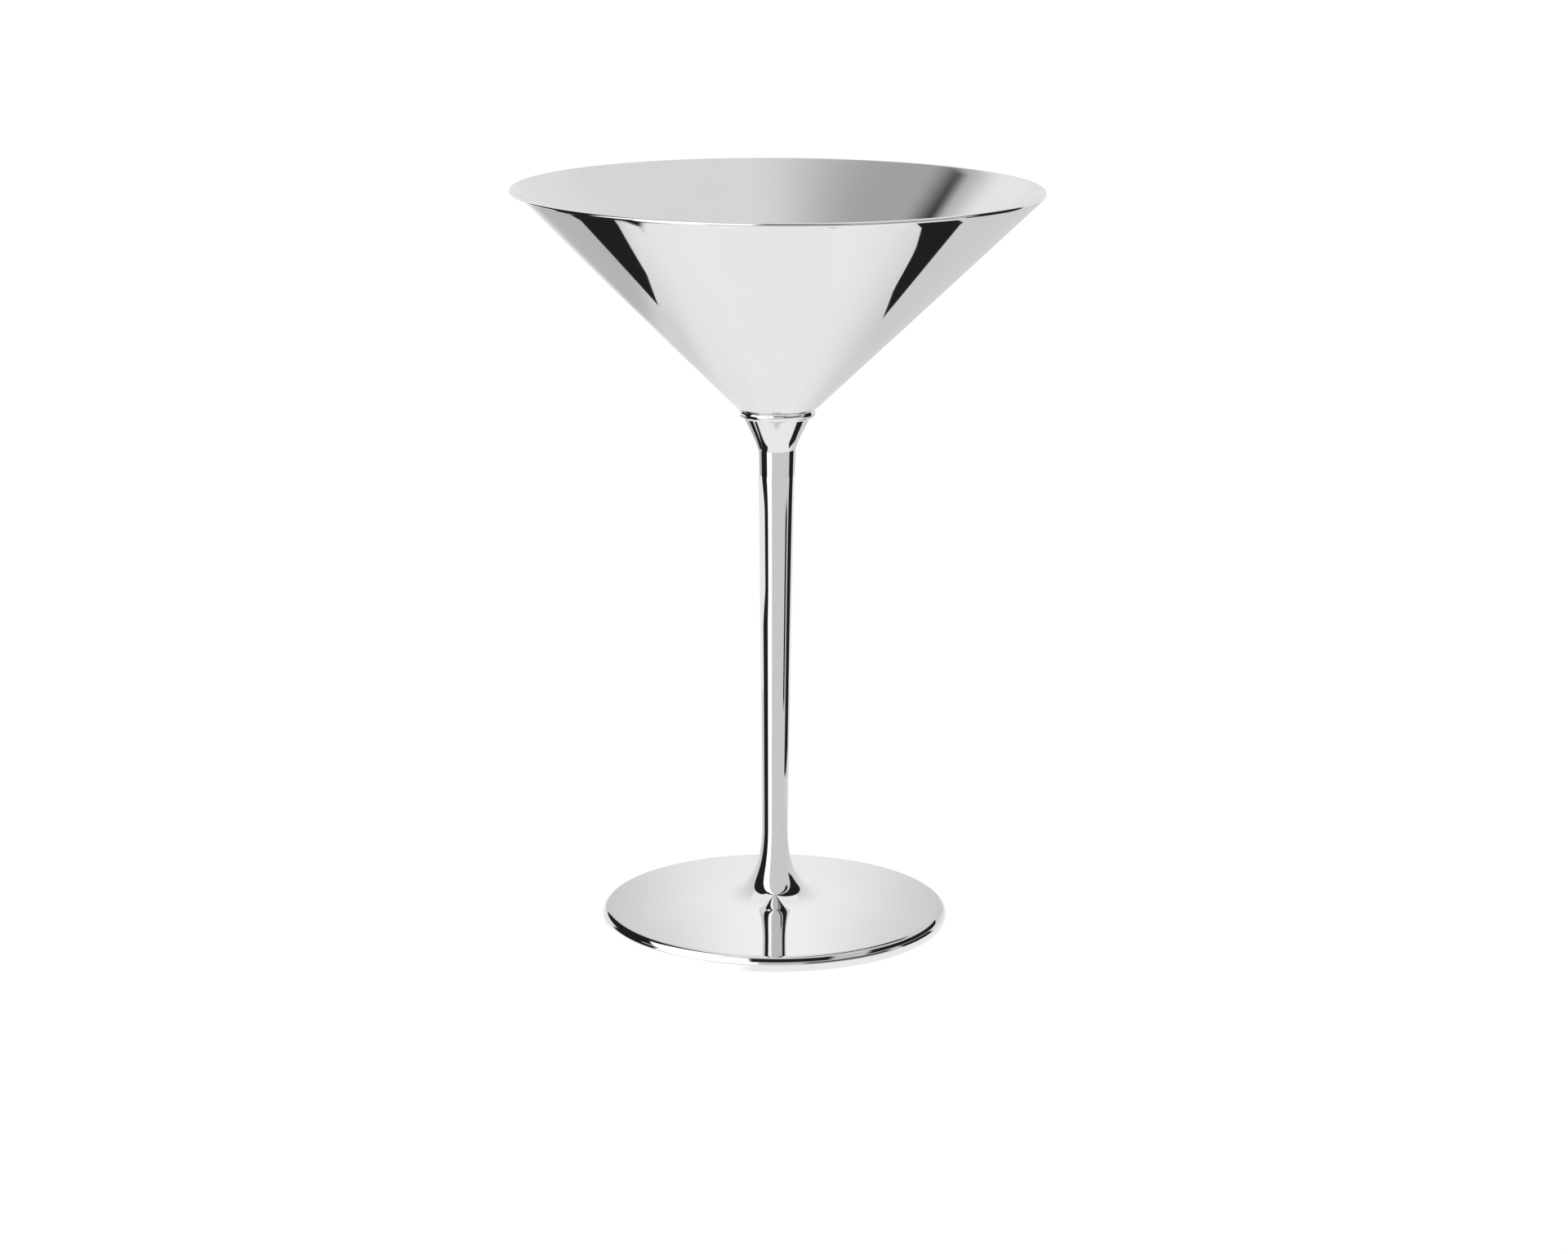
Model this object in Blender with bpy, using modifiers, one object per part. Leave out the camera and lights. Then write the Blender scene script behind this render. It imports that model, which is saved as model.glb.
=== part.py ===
"""A footed cocktail cup: a spun conical bowl, a turned stem and a disc foot with a wired edge.

Metres, +Z up. The origin is the centre of the plane that the foot stands on, and +Z is the axis
of every turned piece. The cup screws together from both ends: a stud under the bowl goes down
through the collar into the stem's head, and a screw comes up through the foot into its base.
"""

from math import acos, asin, atan2, cos, pi, sin

import bpy

# ---- Overall sizes -------------------------------------------------------------------------
OVERALL_HEIGHT = 0.1638
RIM_DIAMETER = 0.1150
FOOT_DIAMETER = 0.0768

# ---- Bowl ----------------------------------------------------------------------------------
BOWL_DEPTH = 0.0474
BOWL_WALL = 0.0010
BOWL_BASE_DIAMETER = 0.0186
BOWL_FLOOR_FILLET = 0.0020

# ---- Collar, and the stud that passes through it -------------------------------------------
COLLAR_DIAMETER = 0.0168
COLLAR_HEIGHT = 0.0017
COLLAR_BORE_DIAMETER = 0.0110
STUD_DIAMETER = 0.0040
STUD_REACH = 0.0100
STUD_FLANGE_THICKNESS = 0.0013
STUD_CHAMFER = 0.0005

# ---- Stem: a flared head, a long shank that thins downwards, and a trumpet-shaped base -------
STEM_HEAD_DIAMETER = 0.0146
STEM_HEAD_HEIGHT = 0.0071
STEM_NECK_DIAMETER = 0.0083
STEM_WAIST_DIAMETER = 0.0058
TRUMPET_DIAMETER = 0.0260
TRUMPET_HEIGHT = 0.0150
TRUMPET_EDGE = 0.0004

# How full each curve of the stem is: where its middle control lies, as shares of its run. The
# first share of a pair is across, the second is along the axis.
HEAD_FULLNESS = (0.01, 0.17)
SHANK_FULLNESS = (0.34, 0.14)
TRUMPET_FULLNESS = (0.01, 0.60)
TRUMPET_LANDING = 0.76

# ---- Foot ----------------------------------------------------------------------------------
EDGE_WIRE_DIAMETER = 0.0036
EDGE_WIRE_FLAT_DEPTH = 0.00006
FOOT_SHEET = 0.0012
FOOT_RISE = 0.0022
FOOT_CREASE_ANGLE = 0.55 * pi

# ---- Screw and washer under the foot -------------------------------------------------------
SCREW_DIAMETER = 0.0040
SCREW_REACH = 0.0075
SCREW_HEAD_DIAMETER = 0.0070
SCREW_HEAD_THICKNESS = 0.0014
SCREW_SLOT_WIDTH = 0.0010
SCREW_SLOT_DEPTH = 0.0007
SCREW_CHAMFER = 0.0005
WASHER_DIAMETER = 0.0095
WASHER_THICKNESS = 0.0006

# ---- Clearances ----------------------------------------------------------------------------
GAP = 0.0003
TIP_CLEARANCE = 0.0006

# ---- Facets round a full turn --------------------------------------------------------------
BOWL_STEPS = 72
FOOT_STEPS = 64
STEM_STEPS = 32
COLLAR_STEPS = 40
FIXING_STEPS = 24
MERGE_DISTANCE = 0.00001

# ---- Heights and radii that follow from the sizes above ------------------------------------
BOWL_UNDERSIDE = OVERALL_HEIGHT - BOWL_DEPTH
COLLAR_TOP = BOWL_UNDERSIDE - GAP
COLLAR_BOTTOM = COLLAR_TOP - COLLAR_HEIGHT
STEM_TOP = COLLAR_BOTTOM - GAP
STUD_TIP = STEM_TOP - STUD_REACH

WIRE_RADIUS = EDGE_WIRE_DIAMETER / 2
WIRE_RING_RADIUS = FOOT_DIAMETER / 2 - WIRE_RADIUS
WIRE_HEIGHT = WIRE_RADIUS - EDGE_WIRE_FLAT_DEPTH
WIRE_GROOVE_RADIUS = WIRE_RADIUS + GAP

CREASE_RADIUS = WIRE_RING_RADIUS + WIRE_GROOVE_RADIUS * cos(FOOT_CREASE_ANGLE)
CREASE_HEIGHT = WIRE_HEIGHT + WIRE_GROOVE_RADIUS * sin(FOOT_CREASE_ANGLE)
SEAT_RADIUS = TRUMPET_DIAMETER / 2 + GAP
CROWN_HEIGHT = CREASE_HEIGHT + FOOT_RISE
STEM_BOTTOM = CROWN_HEIGHT - TRUMPET_EDGE
SEAT_HEIGHT = STEM_BOTTOM - GAP
FOOT_UNDERSIDE = SEAT_HEIGHT - FOOT_SHEET

WASHER_TOP = FOOT_UNDERSIDE - GAP
WASHER_BOTTOM = WASHER_TOP - WASHER_THICKNESS
SCREW_HEAD_TOP = WASHER_BOTTOM - GAP
SCREW_HEAD_BOTTOM = SCREW_HEAD_TOP - SCREW_HEAD_THICKNESS
SCREW_TIP = STEM_BOTTOM + SCREW_REACH
SCREW_HOLE_RADIUS = SCREW_DIAMETER / 2 + GAP
STUD_HOLE_RADIUS = STUD_DIAMETER / 2 + GAP

# ---- Finishes: colour, metallic, roughness -------------------------------------------------
FINISHES = {
    "polished_silver": ((0.93, 0.92, 0.90), 1.0, 0.06),
    "brass": ((0.80, 0.62, 0.30), 1.0, 0.25),
    "steel": ((0.62, 0.62, 0.63), 1.0, 0.30),
}


# ---- Outlines in the (radius, height) plane ------------------------------------------------
def arc(centre, radius, stops, steps):
    """Points on a circle that pass through each of these angles, in this many steps between."""
    angles = [stops[0]]
    for start, end in zip(stops, stops[1:]):
        angles += [start + (end - start) * i / steps for i in range(1, steps + 1)]
    return [(centre[0] + radius * cos(a), centre[1] + radius * sin(a)) for a in angles]


def bezier(controls, steps):
    """Points along the Bezier curve of these control points, both ends included."""

    def at(t):
        level = controls
        while len(level) > 1:
            level = [
                (a[0] + (b[0] - a[0]) * t, a[1] + (b[1] - a[1]) * t)
                for a, b in zip(level, level[1:])
            ]
        return level[0]

    return [at(i / steps) for i in range(steps + 1)]


def bowl_outline():
    """From the floor's centre up the inside, over the rounded lip and down the outside."""
    half = BOWL_WALL / 2
    heel = (BOWL_BASE_DIAMETER / 2 - half, BOWL_UNDERSIDE + half)
    lip = (RIM_DIAMETER / 2 - half, OVERALL_HEIGHT - half)
    lean = atan2(lip[0] - heel[0], lip[1] - heel[1])
    floor = BOWL_UNDERSIDE + BOWL_WALL
    fillet_height = floor + BOWL_FLOOR_FILLET
    rise = fillet_height - heel[1]
    fillet_radius = heel[0] + (rise * sin(lean) - half - BOWL_FLOOR_FILLET) / cos(lean)
    return [
        (0, floor),
        *arc((fillet_radius, fillet_height), BOWL_FLOOR_FILLET, (-pi / 2, -lean), 4),
        *arc(lip, half, (pi - lean, pi / 2, 0, -lean), 2),
        *arc(heel, half, (-lean, -pi / 2), 3),
        (0, BOWL_UNDERSIDE),
    ]


def stud_outline():
    """A disc that is soldered under the bowl's floor, with a plain shank for the thread."""
    flange = COLLAR_BORE_DIAMETER / 2 - GAP
    flange_top = BOWL_UNDERSIDE - GAP
    flange_bottom = flange_top - STUD_FLANGE_THICKNESS
    shank = STUD_DIAMETER / 2
    return [
        (0, flange_top),
        (flange, flange_top),
        (flange, flange_bottom),
        (shank, flange_bottom),
        (shank, STUD_TIP + STUD_CHAMFER),
        (shank - STUD_CHAMFER, STUD_TIP),
        (0, STUD_TIP),
    ]


def collar_outline():
    """A ring whose outer side is a half round."""
    half = COLLAR_HEIGHT / 2
    centre = (COLLAR_DIAMETER / 2 - half, COLLAR_BOTTOM + half)
    bore = COLLAR_BORE_DIAMETER / 2
    side = arc(centre, half, (pi / 2, 0, -pi / 2), 4)
    return [(bore, COLLAR_TOP), *side, (bore, COLLAR_BOTTOM)]


def stem_outline():
    """From the bottom of the head's bore up, down the outside, and up the base's bore."""
    head = STEM_HEAD_DIAMETER / 2
    neck = (STEM_NECK_DIAMETER / 2, STEM_TOP - STEM_HEAD_HEIGHT)
    waist = (STEM_WAIST_DIAMETER / 2, CROWN_HEIGHT + TRUMPET_HEIGHT)
    edge = (TRUMPET_DIAMETER / 2, CROWN_HEIGHT)
    shank = neck[1] - waist[1]
    taper = neck[0] - waist[0]
    spread = edge[0] - waist[0]
    slope = FOOT_RISE / (CREASE_RADIUS - SEAT_RADIUS)

    # Each curve leaves along the one before it, so that the side has no corner.
    across, along = HEAD_FULLNESS
    head_turn = (neck[0] + across * STEM_HEAD_HEIGHT, neck[1] + along * STEM_HEAD_HEIGHT)
    across, along = SHANK_FULLNESS
    shank_turn = (neck[0] - across * taper, neck[1] - along * shank)
    across, along = TRUMPET_FULLNESS
    trumpet_turn = (waist[0] + across * spread, waist[1] - along * TRUMPET_HEIGHT)
    landing = TRUMPET_LANDING * spread
    foot_turn = (edge[0] - landing, edge[1] + landing * slope)
    stud_floor = STUD_TIP - TIP_CLEARANCE
    screw_ceiling = SCREW_TIP + TIP_CLEARANCE
    return [
        (0, stud_floor),
        (STUD_HOLE_RADIUS, stud_floor),
        (STUD_HOLE_RADIUS, STEM_TOP),
        *bezier([(head, STEM_TOP), head_turn, neck], 7)[:-1],
        *bezier([neck, shank_turn, waist], 8)[:-1],
        *bezier([waist, trumpet_turn, foot_turn, edge], 12),
        (edge[0], STEM_BOTTOM),
        (SCREW_HOLE_RADIUS, STEM_BOTTOM),
        (SCREW_HOLE_RADIUS, screw_ceiling),
        (0, screw_ceiling),
    ]


def foot_outline():
    """A shallow cone of sheet with a seat for the stem and a groove for the edge wire."""
    centre = (WIRE_RING_RADIUS, WIRE_HEIGHT)
    lip_underside = CREASE_HEIGHT - FOOT_SHEET - WIRE_HEIGHT
    groove_end = pi - asin(lip_underside / WIRE_GROOVE_RADIUS)
    flat = (CROWN_HEIGHT - SEAT_HEIGHT) / FOOT_RISE
    flat_radius = SEAT_RADIUS + (CREASE_RADIUS - SEAT_RADIUS) * flat
    return [
        (SCREW_HOLE_RADIUS, SEAT_HEIGHT),
        (SEAT_RADIUS, SEAT_HEIGHT),
        (SEAT_RADIUS, CROWN_HEIGHT),
        *arc(centre, WIRE_GROOVE_RADIUS, (FOOT_CREASE_ANGLE, groove_end), 3),
        (flat_radius, FOOT_UNDERSIDE),
        (SCREW_HOLE_RADIUS, FOOT_UNDERSIDE),
    ]


def edge_wire_outline():
    """A round wire, lapped flat where it stands."""
    flat = acos(WIRE_HEIGHT / WIRE_RADIUS)
    centre = (WIRE_RING_RADIUS, WIRE_HEIGHT)
    return arc(centre, WIRE_RADIUS, (1.5 * pi - flat, pi, 0.5 * pi, 0, flat - 0.5 * pi), 4)


def washer_outline():
    outer = WASHER_DIAMETER / 2
    return [
        (SCREW_HOLE_RADIUS, WASHER_TOP),
        (outer, WASHER_TOP),
        (outer, WASHER_BOTTOM),
        (SCREW_HOLE_RADIUS, WASHER_BOTTOM),
    ]


def screw_outline():
    """A shank for the thread above a flat head with a rounded lower edge."""
    shank = SCREW_DIAMETER / 2
    head = SCREW_HEAD_DIAMETER / 2
    rounding = SCREW_HEAD_THICKNESS / 2
    corner = (head - rounding, SCREW_HEAD_BOTTOM + rounding)
    return [
        (0, SCREW_TIP),
        (shank - SCREW_CHAMFER, SCREW_TIP),
        (shank, SCREW_TIP - SCREW_CHAMFER),
        (shank, SCREW_HEAD_TOP),
        (head, SCREW_HEAD_TOP),
        *arc(corner, rounding, (0, -pi / 2), 3),
        (0, SCREW_HEAD_BOTTOM),
    ]


# ---- Blender objects -----------------------------------------------------------------------
def clear_scene():
    for old in list(bpy.data.objects):
        bpy.data.objects.remove(old, do_unlink=True)


def new_collection(name):
    collection = bpy.data.collections.new(name)
    bpy.context.scene.collection.children.link(collection)
    return collection


def finish(name):
    """The material of one finish, made once and shared by the pieces that have it."""
    if name in bpy.data.materials:
        return bpy.data.materials[name]
    colour, metallic, roughness = FINISHES[name]
    material = bpy.data.materials.new(name)
    material.use_nodes = True
    shader = material.node_tree.nodes["Principled BSDF"]
    shader.inputs["Base Color"].default_value = (*colour, 1)
    shader.inputs["Metallic"].default_value = metallic
    shader.inputs["Roughness"].default_value = roughness
    return material


def turned(name, outline, steps, finish_name):
    """A turned piece, with its origin on the axis at its lowest point.

    An outline that starts and ends on the axis makes a solid of revolution. Any other closes
    on itself and makes a ring.
    """
    base = min(height for _, height in outline)
    points = [(radius, 0, height - base) for radius, height in outline]
    edges = [(i, i + 1) for i in range(len(points) - 1)]
    if outline[0][0] > 0:
        edges.append((len(points) - 1, 0))
    mesh = bpy.data.meshes.new(name)
    mesh.from_pydata(points, edges, [])
    mesh.materials.append(finish(finish_name))
    piece = bpy.data.objects.new(name, mesh)
    piece.location = (0, 0, base)
    piece.parent = cup_axis
    cup_parts.objects.link(piece)

    screw = piece.modifiers.new("Turn", "SCREW")
    screw.axis = "Z"
    screw.angle = 2 * pi
    screw.steps = steps
    screw.render_steps = steps
    screw.use_merge_vertices = True
    screw.merge_threshold = MERGE_DISTANCE
    screw.use_smooth_shade = True
    return piece


def cut_driver_slot(screw_piece):
    """A straight slot across the underside of the screw's head."""
    bpy.ops.mesh.primitive_cube_add(size=1)
    slot = bpy.context.object
    slot.name = "driver_slot_cutter"
    slot.scale = (2 * SCREW_HEAD_DIAMETER, SCREW_SLOT_WIDTH, 2 * SCREW_SLOT_DEPTH)
    slot.location = (0, 0, SCREW_HEAD_BOTTOM)
    slot.hide_render = True
    slot.display_type = "WIRE"
    for collection in list(slot.users_collection):
        collection.objects.unlink(slot)
    cutters.objects.link(slot)

    cut = screw_piece.modifiers.new("Driver slot", "BOOLEAN")
    cut.operation = "DIFFERENCE"
    cut.solver = "EXACT"
    cut.object = slot


clear_scene()
cup_parts = new_collection("cocktail_cup")
cutters = new_collection("cutters")
cup_axis = bpy.data.objects.new("cup_axis", None)
cup_parts.objects.link(cup_axis)

turned("bowl", bowl_outline(), BOWL_STEPS, "polished_silver")
turned("bowl_stud", stud_outline(), FIXING_STEPS, "brass")
turned("collar", collar_outline(), COLLAR_STEPS, "polished_silver")
turned("stem", stem_outline(), STEM_STEPS, "polished_silver")
turned("foot", foot_outline(), FOOT_STEPS, "polished_silver")
turned("foot_edge_wire", edge_wire_outline(), FOOT_STEPS, "polished_silver")
turned("foot_washer", washer_outline(), FIXING_STEPS, "steel")
foot_screw = turned("foot_screw", screw_outline(), FIXING_STEPS, "steel")
cut_driver_slot(foot_screw)
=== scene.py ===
from math import acos, atan, atan2, cos, hypot, pi, radians, sin

import bpy
from mathutils import Matrix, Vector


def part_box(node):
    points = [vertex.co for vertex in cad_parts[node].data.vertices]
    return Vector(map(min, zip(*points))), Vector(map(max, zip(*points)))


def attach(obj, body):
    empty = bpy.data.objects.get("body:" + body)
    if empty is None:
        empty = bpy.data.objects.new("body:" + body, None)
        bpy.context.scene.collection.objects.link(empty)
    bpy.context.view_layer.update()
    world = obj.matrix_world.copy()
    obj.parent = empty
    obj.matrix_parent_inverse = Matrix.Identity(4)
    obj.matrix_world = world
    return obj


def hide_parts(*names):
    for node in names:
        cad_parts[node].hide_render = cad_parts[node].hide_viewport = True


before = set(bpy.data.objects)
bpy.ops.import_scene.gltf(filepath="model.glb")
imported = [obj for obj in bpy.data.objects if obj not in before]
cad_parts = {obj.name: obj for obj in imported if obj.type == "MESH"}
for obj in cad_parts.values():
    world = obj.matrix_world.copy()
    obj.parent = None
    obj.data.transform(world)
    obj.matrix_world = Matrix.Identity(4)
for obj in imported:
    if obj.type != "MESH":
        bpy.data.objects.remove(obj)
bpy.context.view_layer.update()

MM = 0.001


# ---- Sizes read from the frame, and the few that only the fine meshes need ------------------
def lowest(node):
    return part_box(node)[0]


def highest(node):
    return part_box(node)[1]


RIM_RADIUS = highest("bowl").x
RIM_TOP = highest("bowl").z
BOWL_UNDERSIDE = lowest("bowl").z
BOWL_WALL = 1.0 * MM
BOWL_BASE_RADIUS = 9.3 * MM
BOWL_FLOOR_FILLET = 2.0 * MM

COLLAR_RADIUS = highest("collar").x
COLLAR_BORE = 5.5 * MM

STEM_TOP = highest("stem").z
STEM_BOTTOM = lowest("stem").z
HEAD_RADIUS = 7.3 * MM
HEAD_HEIGHT = 7.1 * MM
HEAD_FULLNESS = (0.01, 0.17)
NECK_RADIUS = 4.15 * MM
WAIST_RADIUS = 2.9 * MM
SHANK_FULLNESS = (0.34, 0.14)
TRUMPET_RADIUS = highest("stem").x
TRUMPET_HEIGHT = 15.0 * MM
TRUMPET_FULLNESS = (0.01, 0.60)
TRUMPET_LANDING = 0.76
TRUMPET_EDGE = 0.4 * MM
STUD_HOLE_DEPTH = 10.6 * MM
SCREW_HOLE_DEPTH = 8.1 * MM
CROWN_HEIGHT = STEM_BOTTOM + TRUMPET_EDGE

FOOT_RADIUS = highest("foot_edge_wire").x
FOOT_SHEET = 1.2 * MM
WIRE_RADIUS = 1.8 * MM
WIRE_FLAT_DEPTH = 0.06 * MM
WIRE_RING = FOOT_RADIUS - WIRE_RADIUS
WIRE_HEIGHT = WIRE_RADIUS - WIRE_FLAT_DEPTH
GROOVE_END = 0.87 * pi

HOLE_RADIUS = 2.3 * MM
THREAD_RADIUS = 2.0 * MM
THREAD_PITCH = 0.7 * MM
THREAD_DEPTH = 0.36 * MM
SLOT_WIDTH = 1.0 * MM
SLOT_DEPTH = 0.7 * MM
SCREW_HEAD_HEIGHT = 1.4 * MM
SCREW_FACE_DOME = 0.08 * MM
STUD_FLANGE_HEIGHT = 1.3 * MM
SHANK_CHAMFER = 0.5 * MM
GAP = 0.3 * MM
HAIRLINE = 0.01 * MM

TURN_STEPS = 256
FIXING_STEPS = 96
SHARP_EDGE = radians(28)

# The foot's sheet falls this much for each unit outwards, and meets the edge wire at a tangent.
FOOT_SLOPE = (CROWN_HEIGHT - WIRE_HEIGHT - WIRE_RADIUS) / (WIRE_RING - TRUMPET_RADIUS)


# ---- Outlines in the (radius, height) plane --------------------------------------------------
def arc(centre, radius, start, end, steps=10):
    angles = [start + (end - start) * i / steps for i in range(steps + 1)]
    return [(centre[0] + radius * cos(a), centre[1] + radius * sin(a)) for a in angles]


def line(start, end, steps=1):
    return [
        (start[0] + (end[0] - start[0]) * i / steps, start[1] + (end[1] - start[1]) * i / steps)
        for i in range(steps + 1)
    ]


def bezier(controls, steps):
    def at(t):
        level = controls
        while len(level) > 1:
            level = [
                (a[0] + (b[0] - a[0]) * t, a[1] + (b[1] - a[1]) * t)
                for a, b in zip(level, level[1:])
            ]
        return level[0]

    return [at(i / steps) for i in range(steps + 1)]


def joined(*stretches):
    """One outline from several, dropping points that repeat."""
    points = []
    for stretch in stretches:
        for point in stretch:
            if not points or hypot(point[0] - points[-1][0], point[1] - points[-1][1]) > 1e-7:
                points.append(point)
    return points


def bowl_outline():
    """From the floor's centre up the inside, over the rounded lip and down the outside."""
    half = BOWL_WALL / 2
    heel = (BOWL_BASE_RADIUS - half, BOWL_UNDERSIDE + half)
    lip = (RIM_RADIUS - half, RIM_TOP - half)
    lean = atan2(lip[0] - heel[0], lip[1] - heel[1])
    floor = BOWL_UNDERSIDE + BOWL_WALL
    height = floor + BOWL_FLOOR_FILLET
    rise = (height - heel[1]) * sin(lean)
    centre = (heel[0] + (rise - half - BOWL_FLOOR_FILLET) / cos(lean), height)
    fillet = arc(centre, BOWL_FLOOR_FILLET, -pi / 2, -lean, 16)
    lip_round = arc(lip, half, pi - lean, -lean, 24)
    heel_round = arc(heel, half, -lean, -pi / 2, 12)
    return joined(
        line((0, floor), fillet[0], 6),
        fillet,
        line(fillet[-1], lip_round[0], 40),
        lip_round,
        line(lip_round[-1], heel_round[0], 40),
        heel_round,
        line(heel_round[-1], (0, BOWL_UNDERSIDE), 6),
    )


def collar_outline():
    top = BOWL_UNDERSIDE - HAIRLINE
    bottom = STEM_TOP + HAIRLINE
    half = (top - bottom) / 2
    centre = (COLLAR_RADIUS - half, bottom + half)
    side = arc(centre, half, pi / 2, -pi / 2, 32)
    return joined([(COLLAR_BORE, top)], side, [(COLLAR_BORE, bottom)])


def stem_outline():
    """From the bottom of the head's bore up, down the outside, and up the base's bore."""
    neck = (NECK_RADIUS, STEM_TOP - HEAD_HEIGHT)
    waist = (WAIST_RADIUS, CROWN_HEIGHT + TRUMPET_HEIGHT)
    edge = (TRUMPET_RADIUS, CROWN_HEIGHT)
    shank = neck[1] - waist[1]
    taper = neck[0] - waist[0]
    spread = edge[0] - waist[0]
    across, along = HEAD_FULLNESS
    head_turn = (neck[0] + across * HEAD_HEIGHT, neck[1] + along * HEAD_HEIGHT)
    across, along = SHANK_FULLNESS
    shank_turn = (neck[0] - across * taper, neck[1] - along * shank)
    across, along = TRUMPET_FULLNESS
    trumpet_turn = (waist[0] + across * spread, waist[1] - along * TRUMPET_HEIGHT)
    landing = TRUMPET_LANDING * spread
    foot_turn = (edge[0] - landing, edge[1] + landing * FOOT_SLOPE)
    stud_floor = STEM_TOP - STUD_HOLE_DEPTH
    screw_ceiling = STEM_BOTTOM + SCREW_HOLE_DEPTH
    return joined(
        [(0, stud_floor), (HOLE_RADIUS, stud_floor), (HOLE_RADIUS, STEM_TOP)],
        bezier([(HEAD_RADIUS, STEM_TOP), head_turn, neck], 40),
        bezier([neck, shank_turn, waist], 60),
        bezier([waist, trumpet_turn, foot_turn, edge], 72),
        [(edge[0], STEM_BOTTOM), (HOLE_RADIUS, STEM_BOTTOM)],
        [(HOLE_RADIUS, screw_ceiling), (0, screw_ceiling)],
    )


def foot_outline():
    """The top from the stem's seat to the edge wire, round the wire, and back underneath."""
    centre = (WIRE_RING, WIRE_HEIGHT)
    tangent = pi / 2 - atan(FOOT_SLOPE)
    groove = arc(centre, WIRE_RADIUS + HAIRLINE, tangent, GROOVE_END, 24)
    seat = STEM_BOTTOM - GAP
    underside = seat - FOOT_SHEET
    flat_end = (TRUMPET_RADIUS + (CROWN_HEIGHT - seat) / FOOT_SLOPE, underside)
    crown = (TRUMPET_RADIUS + HAIRLINE, CROWN_HEIGHT)
    return joined(
        [(HOLE_RADIUS, seat), (crown[0], seat)],
        line(crown, groove[0], 30),
        groove,
        line(groove[-1], flat_end, 16),
        line(flat_end, (HOLE_RADIUS, underside), 12),
    )


def wire_outline():
    flat = acos(WIRE_HEIGHT / WIRE_RADIUS)
    return arc((WIRE_RING, WIRE_HEIGHT), WIRE_RADIUS, 1.5 * pi - flat, flat - 0.5 * pi, 72)


def washer_outline():
    """A flat ring with a small chamfer on each outer edge."""
    low, high = lowest("foot_washer"), highest("foot_washer")
    chamfer = 0.12 * MM
    return [
        (HOLE_RADIUS, high.z),
        (high.x - chamfer, high.z),
        (high.x, high.z - chamfer),
        (high.x, low.z + chamfer),
        (high.x - chamfer, low.z),
        (HOLE_RADIUS, low.z),
    ]


def screw_outline():
    """A shank above a head whose lower edge is rounded and whose face is slightly domed."""
    low, high = lowest("foot_screw").z, highest("foot_screw").z
    head = highest("foot_screw").x
    head_top = low + SCREW_HEAD_HEIGHT
    rounding = 0.55 * MM
    bevel = 0.1 * MM
    corner = (head - rounding, low + SCREW_FACE_DOME + rounding)
    return joined(
        [(0, high), (THREAD_RADIUS - SHANK_CHAMFER, high)],
        line((THREAD_RADIUS, high - SHANK_CHAMFER), (THREAD_RADIUS, head_top + bevel), 150),
        [(THREAD_RADIUS, head_top), (head - bevel, head_top), (head, head_top - bevel)],
        arc(corner, rounding, 0, -pi / 2, 10),
        line((corner[0], low + SCREW_FACE_DOME), (0, low), 8),
    )


def stud_outline():
    """A flange that is soldered under the bowl, with a fillet to the shank."""
    low, high = lowest("bowl_stud").z, highest("bowl_stud").z
    flange = highest("bowl_stud").x
    flange_bottom = high - STUD_FLANGE_HEIGHT
    bevel = 0.15 * MM
    fillet = 0.35 * MM
    centre = (THREAD_RADIUS + fillet, flange_bottom - fillet)
    return joined(
        [(0, high), (flange - bevel, high), (flange, high - bevel)],
        [(flange, flange_bottom + bevel), (flange - bevel, flange_bottom)],
        arc(centre, fillet, pi / 2, pi, 8),
        line((THREAD_RADIUS, centre[1]), (THREAD_RADIUS, low + SHANK_CHAMFER), 180),
        [(THREAD_RADIUS - SHANK_CHAMFER, low), (0, low)],
    )


# ---- Making the pieces -----------------------------------------------------------------------
def as_plain_mesh(piece):
    """The piece with its modifiers applied, smooth shaded apart from its real edges."""
    bpy.context.view_layer.update()
    graph = bpy.context.evaluated_depsgraph_get()
    mesh = bpy.data.meshes.new_from_object(piece.evaluated_get(graph))
    piece.modifiers.clear()
    piece.data = mesh
    mesh.name = piece.name
    mesh.shade_smooth()
    mesh.set_sharp_from_angle(angle=SHARP_EDGE)
    return piece


def turned(name, outline, steps=TURN_STEPS):
    """A piece turned about the cup's axis. An outline that starts off the axis makes a ring."""
    points = [(radius, 0, height) for radius, height in outline]
    edges = [(i, i + 1) for i in range(len(points) - 1)]
    if outline[0][0] > 0:
        edges.append((len(points) - 1, 0))
    mesh = bpy.data.meshes.new(name)
    mesh.from_pydata(points, edges, [])
    piece = bpy.data.objects.new(name, mesh)
    bpy.context.scene.collection.objects.link(piece)
    screw = piece.modifiers.new("Turn", "SCREW")
    screw.axis = "Z"
    screw.angle = 2 * pi
    screw.steps = steps
    screw.render_steps = steps
    screw.use_merge_vertices = True
    screw.merge_threshold = 1e-6
    return as_plain_mesh(piece)


def chase_thread(piece, start, end):
    """Cuts a right-hand thread into the shank between two heights, fading out at both ends."""
    fade = 0.8 * THREAD_PITCH
    for vertex in piece.data.vertices:
        x, y, z = vertex.co
        radius = hypot(x, y)
        on_shank = THREAD_RADIUS - 0.01 * MM <= radius <= THREAD_RADIUS * 1.001
        if not (start < z < end and on_shank):
            continue
        turn = (z / THREAD_PITCH - atan2(y, x) / (2 * pi)) % 1
        groove = max(0, 1 - abs(turn - 0.5) / 0.42)
        cut = THREAD_DEPTH * min(1, groove * 1.15) * min(1, (z - start) / fade, (end - z) / fade)
        vertex.co.x *= 1 - cut / radius
        vertex.co.y *= 1 - cut / radius
    piece.data.set_sharp_from_angle(angle=SHARP_EDGE)


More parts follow.
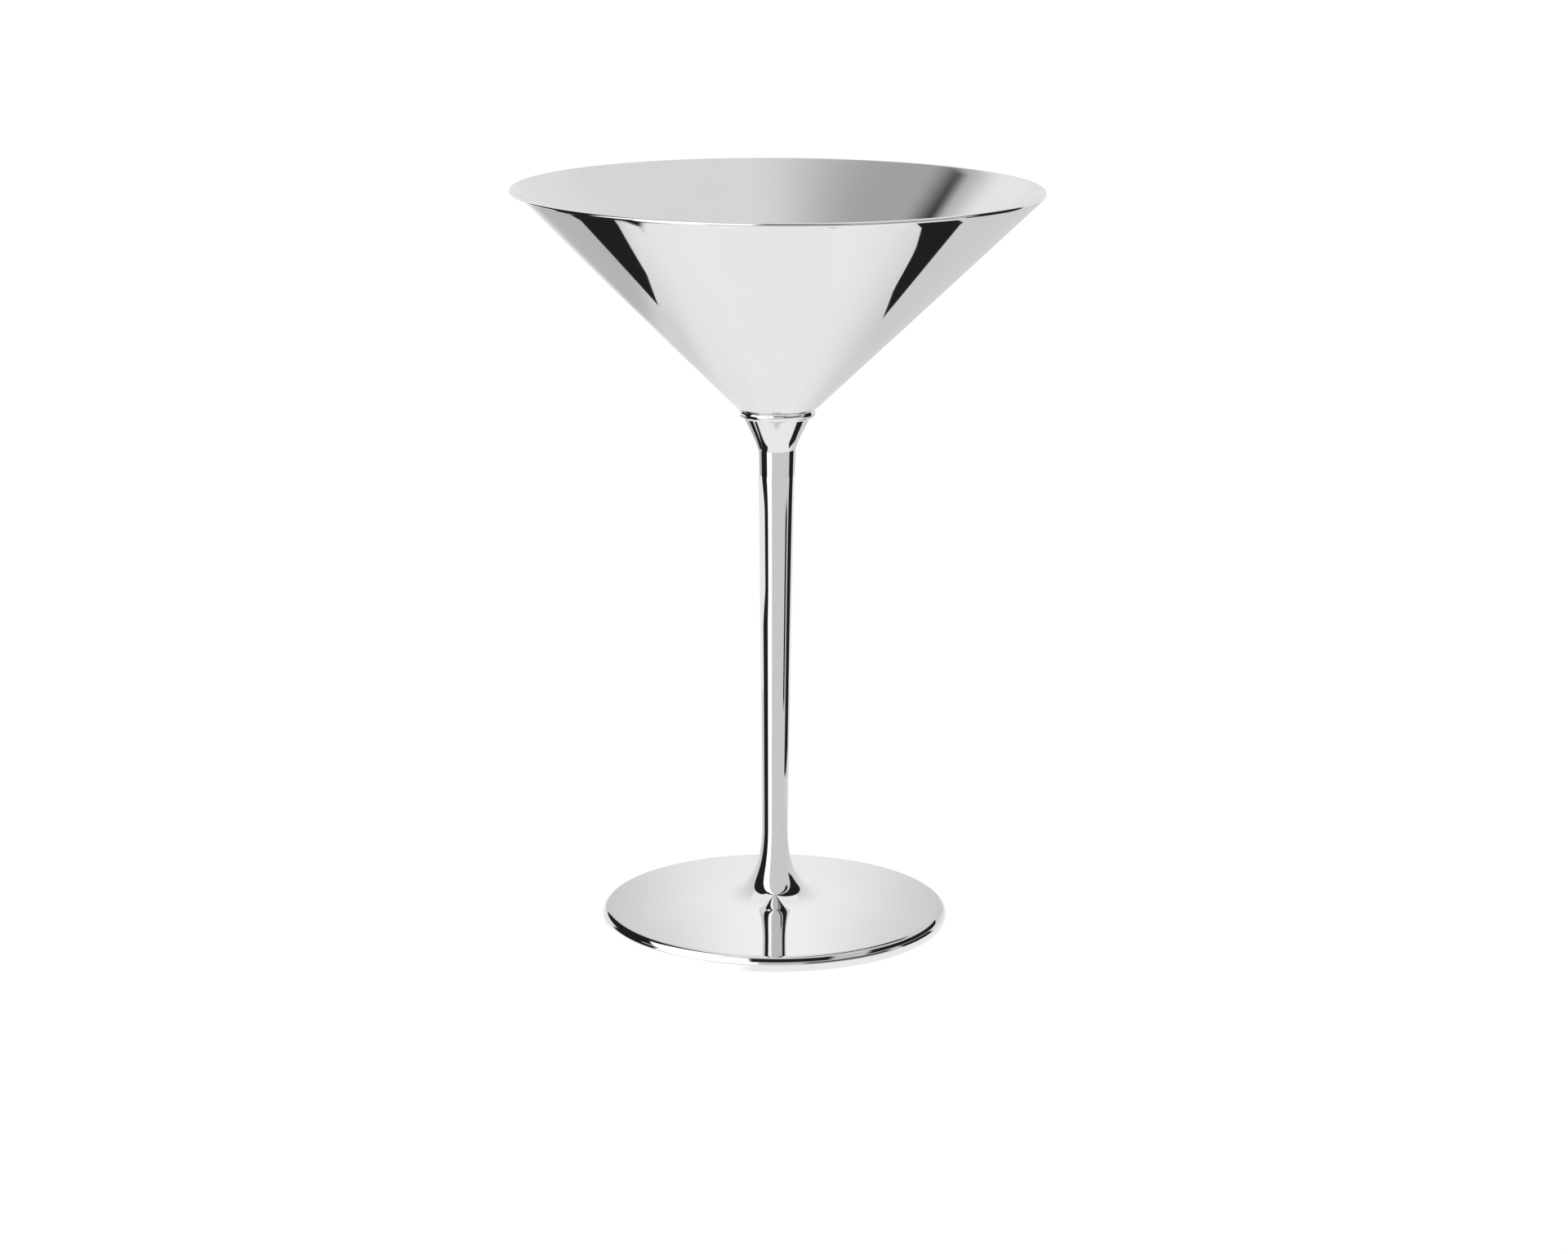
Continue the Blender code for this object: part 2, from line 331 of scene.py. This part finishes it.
def saw_driver_slot(piece, width, depth):
    """A straight slot across the underside of the screw's head."""
    low = lowest("foot_screw").z
    span = 2 * highest("foot_screw").x
    sides = [
        (x, y, z)
        for x in (-span, span)
        for y in (-width / 2, width / 2)
        for z in (low - depth, low + depth)
    ]
    faces = [(0, 1, 3, 2), (4, 6, 7, 5), (0, 4, 5, 1), (2, 3, 7, 6), (0, 2, 6, 4), (1, 5, 7, 3)]
    mesh = bpy.data.meshes.new("saw")
    mesh.from_pydata(sides, [], faces)
    saw = bpy.data.objects.new("saw", mesh)
    bpy.context.scene.collection.objects.link(saw)
    cut = piece.modifiers.new("Slot", "BOOLEAN")
    cut.operation = "DIFFERENCE"
    cut.solver = "EXACT"
    cut.object = saw
    as_plain_mesh(piece)
    bpy.data.objects.remove(saw)


# ---- Shader maths written as expressions -----------------------------------------------------
class Term:
    """A node's output socket that can be added, multiplied and so on, each adding a Math node."""

    def __init__(self, graph, socket):
        self.graph = graph
        self.socket = socket

    def __add__(self, other):
        return self.graph.maths("ADD", self, other)

    def __sub__(self, other):
        return self.graph.maths("SUBTRACT", self, other)

    def __rsub__(self, other):
        return self.graph.maths("SUBTRACT", other, self)

    def __mul__(self, other):
        return self.graph.maths("MULTIPLY", self, other)

    def __truediv__(self, other):
        return self.graph.maths("DIVIDE", self, other)

    def __rtruediv__(self, other):
        return self.graph.maths("DIVIDE", other, self)

    def __neg__(self):
        return self * -1

    __radd__ = __add__
    __rmul__ = __mul__


class Graph:
    """The nodes of one material or world."""

    def __init__(self, tree):
        self.tree = tree
        tree.nodes.clear()

    def node(self, kind, settings=None, inputs=None, output=0):
        """A new node: its settings first, then a value or a link for each socket named."""
        node = self.tree.nodes.new(kind)
        for name, value in (settings or {}).items():
            setattr(node, name, value)
        for name, value in (inputs or {}).items():
            if isinstance(value, Term):
                self.tree.links.new(value.socket, node.inputs[name])
            else:
                node.inputs[name].default_value = value
        return Term(self, node.outputs[output]) if node.outputs else node

    def maths(self, operation, *values):
        return self.node("ShaderNodeMath", {"operation": operation}, dict(enumerate(values)))

    def ramp(self, value, start, end):
        """0 up to start and 1 from end, with a smooth rise between."""
        return self.node(
            "ShaderNodeMapRange",
            {"interpolation_type": "SMOOTHSTEP"},
            {"Value": value, "From Min": start, "From Max": end},
        )

    def band(self, value, start, end, softness):
        """1 between start and end, 0 outside, with soft edges."""
        rise = self.ramp(value, start - softness, start + softness)
        fall = self.ramp(value, end - softness, end + softness)
        return rise * (1 - fall)

    def blend(self, share, first, second):
        """first where share is 0 and second where it is 1, for plain numbers."""
        return first + share * (second - first)

    def axes(self, vector):
        split = self.node("ShaderNodeSeparateXYZ", inputs={"Vector": vector})
        outputs = split.socket.node.outputs
        return [Term(self, outputs[axis]) for axis in ("X", "Y", "Z")]

    def vector(self, x, y, z):
        return self.node("ShaderNodeCombineXYZ", inputs={"X": x, "Y": y, "Z": z})

    def noise(self, vector, scale, detail=2.0):
        inputs = {"Vector": vector, "Scale": scale, "Detail": detail}
        return self.node("ShaderNodeTexNoise", inputs=inputs)

    def colours(self, share, first, second):
        """The colour first where share is 0 and second where it is 1."""
        inputs = {0: share, 6: (*first, 1), 7: (*second, 1)}
        return self.node("ShaderNodeMix", {"data_type": "RGBA"}, inputs, 2)


def new_material(name):
    material = bpy.data.materials.new(name)
    material.use_nodes = True
    return material, Graph(material.node_tree)


# ---- Finishes --------------------------------------------------------------------------------
def finish_surface(graph, colour, roughness, height, relief):
    """A metal surface: relief is the depth in metres that a height of 1 stands for."""
    bump = graph.node(
        "ShaderNodeBump",
        inputs={"Strength": 1.0, "Distance": relief, "Height": height},
    )
    shader = graph.node(
        "ShaderNodeBsdfPrincipled",
        inputs={"Base Color": colour, "Metallic": 1.0, "Roughness": roughness, "Normal": bump},
    )
    graph.node("ShaderNodeOutputMaterial", inputs={"Surface": shader})


def round_the_axis(graph, place, around, along):
    """A noise drawn out round the cup's axis, as a polishing wheel or a lathe leaves it."""
    x, y, z = graph.axes(place)
    flat = graph.vector(x, y, 0)
    radius = graph.node("ShaderNodeVectorMath", {"operation": "LENGTH"}, {0: flat}, "Value")
    spread = graph.maths("MAXIMUM", radius, 0.0002)
    return graph.vector(x / spread * around, y / spread * around, (radius + z) * along)


def polished_silver():
    """Mirror-polished plate: faint wheel lines, a fine grain and a trace of handling."""
    material, graph = new_material("polished_silver")
    place = graph.node("ShaderNodeTexCoord", output="Object")
    lines = graph.noise(round_the_axis(graph, place, 2.0, 2600), 1.0, 3.0)
    smudges = graph.noise(place, 55.0, 4.0)
    grain = graph.noise(place, 900.0, 2.0)
    haze = graph.ramp(smudges, 0.45, 0.75)
    colour = graph.colours(lines * 0.25 + haze * 0.35, (0.835, 0.835, 0.835), (0.80, 0.80, 0.80))
    roughness = 0.022 + haze * 0.016 + lines * 0.012
    height = lines * 0.6 + grain * 0.4
    finish_surface(graph, colour, roughness, height, 0.00000006)
    return material


def satin_silver():
    """The plated underside as it left the lathe: fine turned rings under a soft sheen."""
    material, graph = new_material("satin_silver")
    place = graph.node("ShaderNodeTexCoord", output="Object")
    rings = graph.noise(round_the_axis(graph, place, 1.2, 9000), 1.0, 4.0)
    cloud = graph.noise(place, 120.0, 4.0)
    tarnish = graph.ramp(cloud, 0.42, 0.8)
    colour = graph.colours(tarnish * 0.6 + rings * 0.2, (0.80, 0.80, 0.795), (0.62, 0.615, 0.60))
    roughness = 0.20 + rings * 0.12 + tarnish * 0.08
    finish_surface(graph, colour, roughness, rings, 0.000004)
    return material


def turned_metal(name, bright, dull, roughness):
    """Plain machined stock with tool marks round its axis and darker patches of oxide."""
    material, graph = new_material(name)
    place = graph.node("ShaderNodeTexCoord", output="Object")
    rings = graph.noise(round_the_axis(graph, place, 0.8, 14000), 1.0, 3.0)
    patches = graph.ramp(graph.noise(place, 420.0, 5.0), 0.40, 0.72)
    colour = graph.colours(patches * 0.7 + rings * 0.3, bright, dull)
    finish_surface(graph, colour, roughness + rings * 0.15 + patches * 0.1, rings, 0.000005)
    return material


silver = polished_silver()
satin = satin_silver()
brass = turned_metal("brass", (0.80, 0.62, 0.30), (0.52, 0.38, 0.17), 0.22)
steel = turned_metal("steel", (0.62, 0.62, 0.63), (0.40, 0.40, 0.41), 0.26)


# ---- The cup ---------------------------------------------------------------------------------
def install(piece, node, slot, *materials):
    for material in materials:
        piece.data.materials.append(material)
    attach(piece, "root")
    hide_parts(node)


def satin_below(piece, tilt):
    """Gives the second material to the faces that look down more steeply than tilt."""
    for face in piece.data.polygons:
        if face.normal.z < tilt:
            face.material_index = 1


install(turned("fine_bowl", bowl_outline()), "bowl", "polished_silver", silver)
install(turned("fine_collar", collar_outline()), "collar", "polished_silver", silver)
install(turned("fine_stem", stem_outline()), "stem", "polished_silver", silver)

foot = turned("fine_foot", foot_outline())
install(foot, "foot", "polished_silver", silver, satin)
satin_below(foot, -0.3)

edge_wire = turned("fine_foot_edge_wire", wire_outline())
install(edge_wire, "foot_edge_wire", "polished_silver", silver, satin)
satin_below(edge_wire, -0.995)

install(turned("fine_foot_washer", washer_outline(), FIXING_STEPS), "foot_washer", "steel", steel)

foot_screw = turned("fine_foot_screw", screw_outline(), FIXING_STEPS)
chase_thread(foot_screw, lowest("foot_screw").z + 1.6 * MM, highest("foot_screw").z - 0.5 * MM)
saw_driver_slot(foot_screw, SLOT_WIDTH, SLOT_DEPTH)
install(foot_screw, "foot_screw", "steel", steel)

bowl_stud = turned("fine_bowl_stud", stud_outline(), FIXING_STEPS)
chase_thread(bowl_stud, lowest("bowl_stud").z + 0.5 * MM, highest("bowl_stud").z - 2.0 * MM)
install(bowl_stud, "bowl_stud", "brass", brass)


# ---- Studio ----------------------------------------------------------------------------------
# Azimuths are in degrees round the cup's axis: 0 looks towards the camera, and the camera's
# right is positive. Each surface is a stage piece, and either the camera or only the cup's
# reflections see it. The sheets that only reflections see light nothing: the bands on them are
# painted reflections and painted dark reflections for the metal. The numbers below are how
# bright its parts are, with 1 for plain white.
WHITE = 1.03
BRIGHT = 1.30
FRONT_GREY = 0.68
SIDE_GREY = 0.60
DARK = 0.016
# Azimuths of the painted dark reflections at the front left and the front right.
LEFT_DARK_BAND = (-106, -61)
RIGHT_DARK_BAND = (84, 125)


def lit(graph, kind, light):
    """A shader that gives off this much light. Light that varies is the shader's colour."""
    if isinstance(light, Term):
        return graph.node(kind, inputs={"Color": light, "Strength": 1.0})
    return graph.node(kind, inputs={"Color": (1, 1, 1, 1), "Strength": light})


def glow(name, light):
    """A material that gives off this much light, from a number or a function of its graph."""
    material, graph = new_material(name)
    shader = lit(graph, "ShaderNodeEmission", light(graph) if callable(light) else light)
    graph.node("ShaderNodeOutputMaterial", inputs={"Surface": shader})
    return material


def stage_sheet(name, corners, faces, material, seen_by_camera):
    mesh = bpy.data.meshes.new(name)
    mesh.from_pydata(corners, [], faces)
    mesh.materials.append(material)
    sheet = bpy.data.objects.new(name, mesh)
    bpy.context.scene.collection.objects.link(sheet)
    sheet.visible_camera = seen_by_camera
    sheet.visible_glossy = not seen_by_camera
    sheet.visible_diffuse = False
    sheet.visible_shadow = False
    sheet.visible_transmission = False


def round_azimuth(graph, x, y):
    return graph.maths("ARCTAN2", x, -y) * (180 / pi)


def painted_front_reflection(graph, azimuth, behind, narrowing=0):
    """A painted reflection of the table's front: a dark band at the left, a bright strip, a grey
    front and a dark band at the right. Narrowing, from 0 to 1, makes the left dark band slimmer."""
    strip_end = -29
    dark_band_start = LEFT_DARK_BAND[0] + 24 * narrowing
    dark_band_end = LEFT_DARK_BAND[1] + 6 * narrowing
    # Painted highlight and painted dark reflections: a bright strip, a grey front and a dark band
    # at each side.
    strip = graph.band(azimuth, dark_band_end - 2, strip_end, 1.5)
    front = graph.band(azimuth, strip_end, RIGHT_DARK_BAND[0], 1.5)
    light = graph.blend(strip, behind, BRIGHT)
    light = graph.blend(front, light, FRONT_GREY)
    light = graph.blend(graph.band(azimuth, dark_band_start, dark_band_end, 1.5), light, DARK)
    return graph.blend(graph.band(azimuth, *RIGHT_DARK_BAND, 1.5), light, DARK)


def table_glow(graph):
    """The table's painted reflection in the metal, by place: pale near the foot and dimmer at the
    sides, with a painted dark patch on either hand and the painted front reflection further off."""
    place = graph.node("ShaderNodeTexCoord", output="Object")
    x, y, _ = graph.axes(place)
    distance = graph.maths("SQRT", x * x + y * y)

    # Painted reflection behind the foot: pale near it and painted shade towards the sides.
    near = 0.97 - 0.06 * graph.ramp(y, -0.040, 0.080)
    left = graph.ramp(-x, 0.070, 0.100) * 0.18 * graph.ramp(y, 0.000, 0.130)
    left = left + graph.ramp(-x, 0.104, 0.122) * 0.20
    right = 0.17 * graph.ramp(x, 0.040, 0.105) * graph.ramp(y, -0.040, 0.080)
    right = right + 0.05 * graph.ramp(x, 0.010, 0.060) * graph.ramp(y, 0.040, 0.120)
    behind = near - left - right
    far = graph.ramp(-x, -0.010, 0.010) * graph.ramp(y, 0.240, 0.440)
    behind = graph.blend(far, behind, 1.20)
    behind = graph.blend(graph.ramp(y, 0.600, 1.500), behind, 1.05)

    # Painted dark reflections: a dark patch on either hand, where no card lies.
    left_dark_patch = graph.ramp(-x, 0.1045, 0.1055)
    left_dark_patch = left_dark_patch * graph.ramp(y - 1.45 * x, 0.2185, 0.2215)
    left_dark_patch = left_dark_patch * (1 - graph.ramp(y + 0.5 * x, 0.047, 0.050))
    left_dark_patch = left_dark_patch * (1 - graph.ramp(distance, 0.210, 0.230))
    right_edge = x + 0.007 * graph.ramp(y, 0.045, 0.065)
    right_dark_patch = graph.ramp(right_edge, 0.1035, 0.1045)
    right_dark_patch = right_dark_patch * graph.band(y, -0.012, 0.090, 0.0015)
    right_dark_patch = right_dark_patch * (1 - graph.ramp(x, 0.134, 0.137))
    light = graph.blend(left_dark_patch, behind, DARK)
    light = graph.blend(right_dark_patch, light, DARK)
    beyond = graph.ramp(distance, 0.280, 0.300)
    azimuth = round_azimuth(graph, x, y)
    by_foot = graph.band(azimuth, -52, 56, 3.0) * graph.band(distance, 0.050, 0.060, 0.001)
    left_side = graph.band(azimuth, *LEFT_DARK_BAND, 3.0) * graph.ramp(distance, 0.098, 0.106)
    beyond = graph.maths("MAXIMUM", beyond, graph.maths("MAXIMUM", by_foot, left_side))
    light = graph.blend(beyond, light, painted_front_reflection(graph, azimuth, behind))
    # Painted highlight: a bright patch near the foot at the front left.
    lip = graph.band(azimuth, -80, -10, 4.0) * (1 - graph.ramp(distance, 0.0445, 0.0455))
    return graph.blend(lip, light, 1.25)


def sky_glow(graph):
    """How bright the room looks in the metal, by direction: a ceiling that dims to the left, a
    soft wall behind, a large soft box at the front left and dark boards."""
    direction = graph.node("ShaderNodeTexCoord", output="Generated")
    x, y, z = graph.axes(direction)
    azimuth = round_azimuth(graph, x, y)
    elevation = graph.maths("ARCSINE", z) * (180 / pi)

    ceiling = graph.blend(graph.ramp(x, -0.44, 0.16), 0.42, 0.80)
    wall = 0.84 + 0.08 * graph.ramp(-x, 0.2, 0.4)
    light = graph.blend(graph.ramp(y, 0.43, 0.74), ceiling, wall)

    soft_box = graph.band(azimuth, -84, -10, 2.0) * (1 - graph.ramp(elevation, 68, 74))
    light = graph.blend(soft_box, light, BRIGHT)
    right_front = graph.band(azimuth, -10, 90, 2.0) * (1 - graph.ramp(elevation, 56, 74))
    light = graph.blend(right_front, light, SIDE_GREY)
    lens_side = graph.band(azimuth, -10, 34, 2.0) * graph.band(elevation, 30, 74, 3.0)
    light = graph.blend(lens_side, light, DARK)
    low_front = graph.band(azimuth, 20, 82, 4.0) * graph.band(elevation, 3, 24, 3.0)
    light = graph.blend(low_front, light, 0.10)
    left_board = graph.band(azimuth, -131, -85, 3.0) * (1 - graph.ramp(elevation, 43, 55))
    light = graph.blend(left_board, light, DARK)
    right_board = graph.band(azimuth, 92, 127, 3.0) * (1 - graph.ramp(elevation, 38, 44))
    return graph.blend(right_board, light, DARK)


def set_studio_sky():
    """A world that the camera sees as plain white, and the metal sees as the room."""
    world = bpy.data.worlds.new("studio")
    bpy.context.scene.world = world
    world.use_nodes = True
    graph = Graph(world.node_tree)
    seen = graph.node("ShaderNodeLightPath", output="Is Camera Ray")
    light = graph.blend(seen, sky_glow(graph), WHITE)
    shader = lit(graph, "ShaderNodeBackground", light)
    graph.node("ShaderNodeOutputWorld", inputs={"Surface": shader})


def tent_lining(graph, x, y, z):
    """The painted front reflection again, as the stem sees it, and at the back a paler painted
    light for the foot. The shank's own width turns what it sees off to the side, more so where
    the tent is narrow."""
    distance = graph.maths("SQRT", x * x + y * y)
    bearing = round_azimuth(graph, x, y)
    aside = graph.maths("ABSOLUTE", bearing)
    azimuth = bearing / (1 - 0.0017 / distance)
    back = graph.blend(graph.ramp(aside, 110, 172), 0.74, 1.02)
    back = back * (0.90 + 0.10 * graph.ramp(z, 0.005, 0.022))
    back = graph.blend(graph.ramp(z, 0.044, 0.048), back, 0.95)
    narrowing = graph.band(z, 0.068, 0.098, 0.006)
    stem_side = painted_front_reflection(graph, azimuth, back, narrowing)
    # Painted dark stripe on the lining, which the stem shows as a dark line in its reflection.
    painted_dark_stripe = graph.band(azimuth, 62, 75, 1.5) * graph.band(z, 0.042, 0.094, 0.003)
    stem_side = graph.blend(painted_dark_stripe, stem_side, DARK)
    foot_side = graph.ramp(aside, 80, 82) * graph.ramp(x, -0.005, 0.005)
    rise = graph.maths("MAXIMUM", aside - 100, 0) * 0.0004
    foot_side = foot_side * (1 - graph.ramp(z - rise, 0.022, 0.024))
    return graph.blend(foot_side, stem_side, back)


def light_tent():
    """A cone round the stem that only reflections see; it is no lamp. It glows outwards, so that
    the bowl shows a clear, pale painted reflection on its underside with no foot or stem in it.
    Its lining glows inwards with painted reflections for the stem and foot, except near the
    table."""
    material, graph = new_material("light_tent")
    inside = graph.node("ShaderNodeNewGeometry", output="Backfacing")
    x, y, z = graph.axes(graph.node("ShaderNodeTexCoord", output="Object"))
    aside = graph.maths("ABSOLUTE", round_azimuth(graph, x, y))
    hem = 0.0065 - 0.002 * graph.ramp(aside, 100, 108)
    clear = inside * (1 - graph.ramp(z - hem, -0.0005, 0.0005))
    light = graph.blend(inside, 0.95, tent_lining(graph, x, y, z))
    part_open(graph, light, clear)
    ring_sheet("light_tent", (5.5 * MM, 101 * MM), (46 * MM, 4 * MM), (-180, 180), material)


def edge_cards():
    """Cards over the front of the foot's edge, seen only from below and only in reflections,
    painted
    with reflections for the edge wire: dark at both ends and in the middle, with a bright one at
    the left and a grey one at the right."""
    material, graph = new_material("edge_cards")
    below = graph.node("ShaderNodeNewGeometry", output="Backfacing")
    x, y, _ = graph.axes(graph.node("ShaderNodeTexCoord", output="Object"))
    bearing = round_azimuth(graph, x, y)
    light = graph.blend(graph.band(bearing, -51, -9, 1.0), DARK, BRIGHT)
    light = graph.blend(graph.band(bearing, 22, 37, 2.0), light, SIDE_GREY)
    part_open(graph, light, 1 - below)
    ring_sheet("edge_cards", (38.2 * MM, 7 * MM), (46 * MM, 7 * MM), (-85, 85), material)


def part_open(graph, light, clear):
    """Ends a material that glows where clear is 0 and lets everything through where it is 1."""
    glowing = lit(graph, "ShaderNodeEmission", light)
    open_air = graph.node("ShaderNodeBsdfTransparent")
    mix = graph.node("ShaderNodeMixShader", inputs={0: clear, 1: glowing, 2: open_air})
    graph.node("ShaderNodeOutputMaterial", inputs={"Surface": mix})


def ring_sheet(name, first, second, bearings, material):
    """A stage sheet round the axis between two (radius, height) edges and two bearings."""
    steps = 96
    span = bearings[1] - bearings[0]
    turns = [radians(bearings[0] + span * i / steps) for i in range(steps + 1)]
    corners = [
        (radius * sin(turn), -radius * cos(turn), height)
        for radius, height in (first, second)
        for turn in turns
    ]
    row = steps + 1
    faces = [(i, row + i, row + i + 1, i + 1) for i in range(steps)]
    stage_sheet(name, corners, faces, material, seen_by_camera=False)


def square(half, height):
    return [(x * half, y * half, height) for x, y in ((-1, -1), (1, -1), (1, 1), (-1, 1))]


TABLE_HALF = 8.0
ONE_FACE = [(0, 1, 2, 3)]
table_top = square(TABLE_HALF, 0)
stage_sheet("table", table_top, ONE_FACE, glow("white_table", WHITE), seen_by_camera=True)
# A sheet that only reflections see, glowing with the table's painted reflection.
painted = glow("table_glow", table_glow)
stage_sheet("table_in_metal", table_top, ONE_FACE, painted, seen_by_camera=False)
light_tent()
edge_cards()
set_studio_sky()

overhead_data = bpy.data.lights.new("soft_overhead", "AREA")
overhead_data.shape = "DISK"
overhead_data.size = 1.2
overhead_data.energy = 12
overhead = bpy.data.objects.new("soft_overhead", overhead_data)
overhead.location = (0, 0, 1.4)
overhead.visible_glossy = False
overhead.visible_camera = False
bpy.context.scene.collection.objects.link(overhead)


# ---- Camera ----------------------------------------------------------------------------------
CAMERA_PLACE = (0.0018, -0.795, 0.261)
CAMERA_DROP = 13.7
CAMERA_ROLL = 0.3
LENS_LENGTH = 85.4
SENSOR_WIDTH = 36

camera_data = bpy.data.cameras.new("camera")
camera_data.lens = LENS_LENGTH
camera_data.sensor_width = SENSOR_WIDTH
camera = bpy.data.objects.new("camera", camera_data)
bpy.context.scene.collection.objects.link(camera)
camera.matrix_world = (
    Matrix.Translation(CAMERA_PLACE)
    @ Matrix.Rotation(radians(90 - CAMERA_DROP), 4, "X")
    @ Matrix.Rotation(radians(CAMERA_ROLL), 4, "Z")
)
bpy.context.scene.camera = camera
bpy.context.scene.view_settings.view_transform = "Standard"
